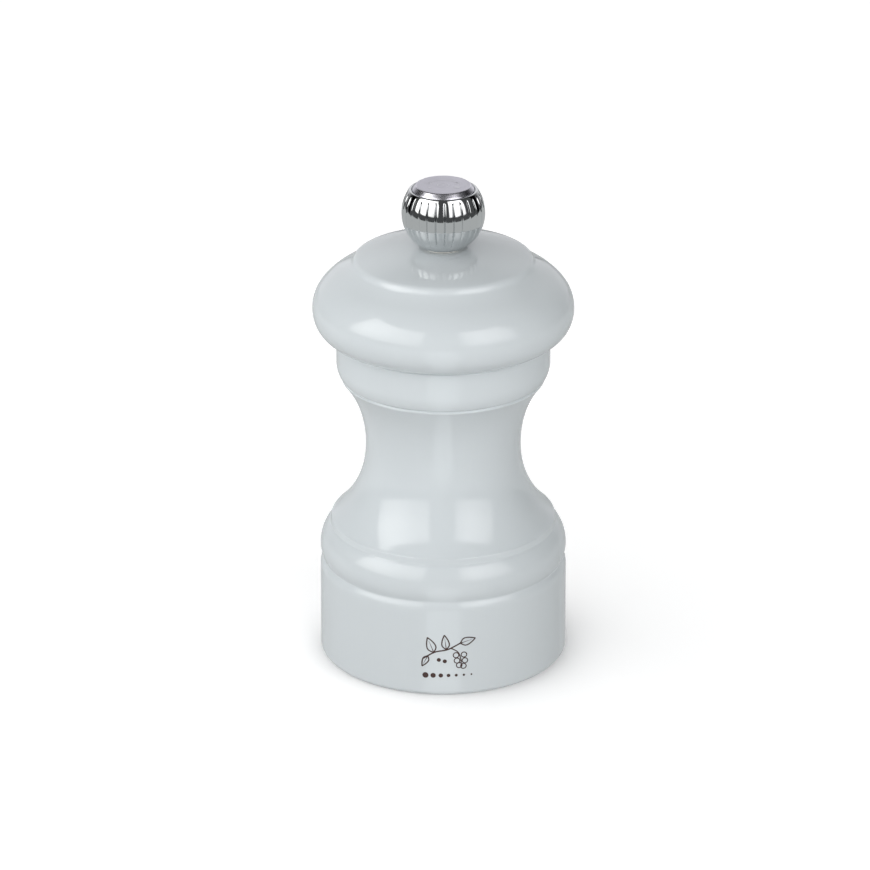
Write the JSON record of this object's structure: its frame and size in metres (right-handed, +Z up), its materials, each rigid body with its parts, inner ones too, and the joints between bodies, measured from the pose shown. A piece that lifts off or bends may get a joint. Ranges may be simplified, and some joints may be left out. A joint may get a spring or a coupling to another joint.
{
  "type": "pepper mill",
  "caption": "Short turned pepper mill with a waisted body, round turning head, chromed grooved adjusting knob and a steel grinding set on a square shaft.",
  "frame": {"origin": "bottom centre, on the plane the foot stands on", "axes": "+Z up along the grinding axis, -Y towards the decorated front, +X to the right seen from the front"},
  "size_m": [0.0524, 0.0524, 0.1],
  "materials": {
    "lacquered_wood": "gloss pale blue-grey lacquer over turned beech",
    "chrome": "bright chrome plate",
    "satin_disc": null,
    "brass": "turned brass",
    "nylon_white": "natural nylon",
    "plastic_black": "moulded black plastic",
    "stamped_steel": "stamped stainless sheet",
    "zinc_screw": "zinc plated screw",
    "aluminium_bar": "drawn square bar",
    "case_hardened_steel": "case-hardened, cut teeth",
    "spring_steel": "drawn spring wire"
  },
  "bodies": {
    "base": {"mill_body": "lacquered_wood", "grinding_ring": "case_hardened_steel", "bridge_bracket": "stamped_steel", "base_ring": "stamped_steel", "base_ring_screws": "zinc_screw", "spring": "spring_steel"},
    "slip_ring": {"neck_ring": "plastic_black"},
    "turning_head": {"head": "lacquered_wood", "drive_plate": "stamped_steel", "drive_plate_screws": "zinc_screw"},
    "lifting_washer": {"knob_washer": "nylon_white"},
    "knob": {"knob_shell": "chrome", "knob_medallion": "satin_disc", "knob_thread_insert": "brass"},
    "spring_seat": {"thrust_washer": "stamped_steel"},
    "spindle": {"drive_shaft": "aluminium_bar", "grinding_rotor": "case_hardened_steel", "rotor_washer": "stamped_steel", "rotor_nut": "zinc_screw"}
  },
  "joints": [
    {"name": "head_lift", "type": "slide", "parent": "base", "child": "slip_ring", "axis": [0, 0, 1], "range_m": [0, 0.045]},
    {"name": "head_spin", "type": "hinge", "parent": "slip_ring", "child": "turning_head", "pos_m": [0, 0, 0.064], "axis": [0, 0, 1], "continuous": true},
    {"name": "knob_lift", "type": "slide", "parent": "turning_head", "child": "lifting_washer", "axis": [0, 0, 1], "range_m": [0, 0.012]},
    {"name": "knob_turn", "type": "hinge", "parent": "lifting_washer", "child": "knob", "pos_m": [0, 0, 0.094], "axis": [0, 0, 1], "range_deg": [-720, 0]},
    {"name": "grind_slide", "type": "slide", "parent": "base", "child": "spring_seat", "axis": [0, 0, 1], "range_m": [0, 0.0016], "deforming": ["spring"]},
    {"name": "spindle_spin", "type": "hinge", "parent": "spring_seat", "child": "spindle", "pos_m": [0, 0, 0.04], "axis": [0, 0, 1], "continuous": true}
  ],
  "couplings": [
    {"joint": "knob_turn", "follows": "grind_slide", "rad_per_m": -7854},
    {"joint": "spindle_spin", "follows": "head_spin", "ratio": 1}
  ]
}
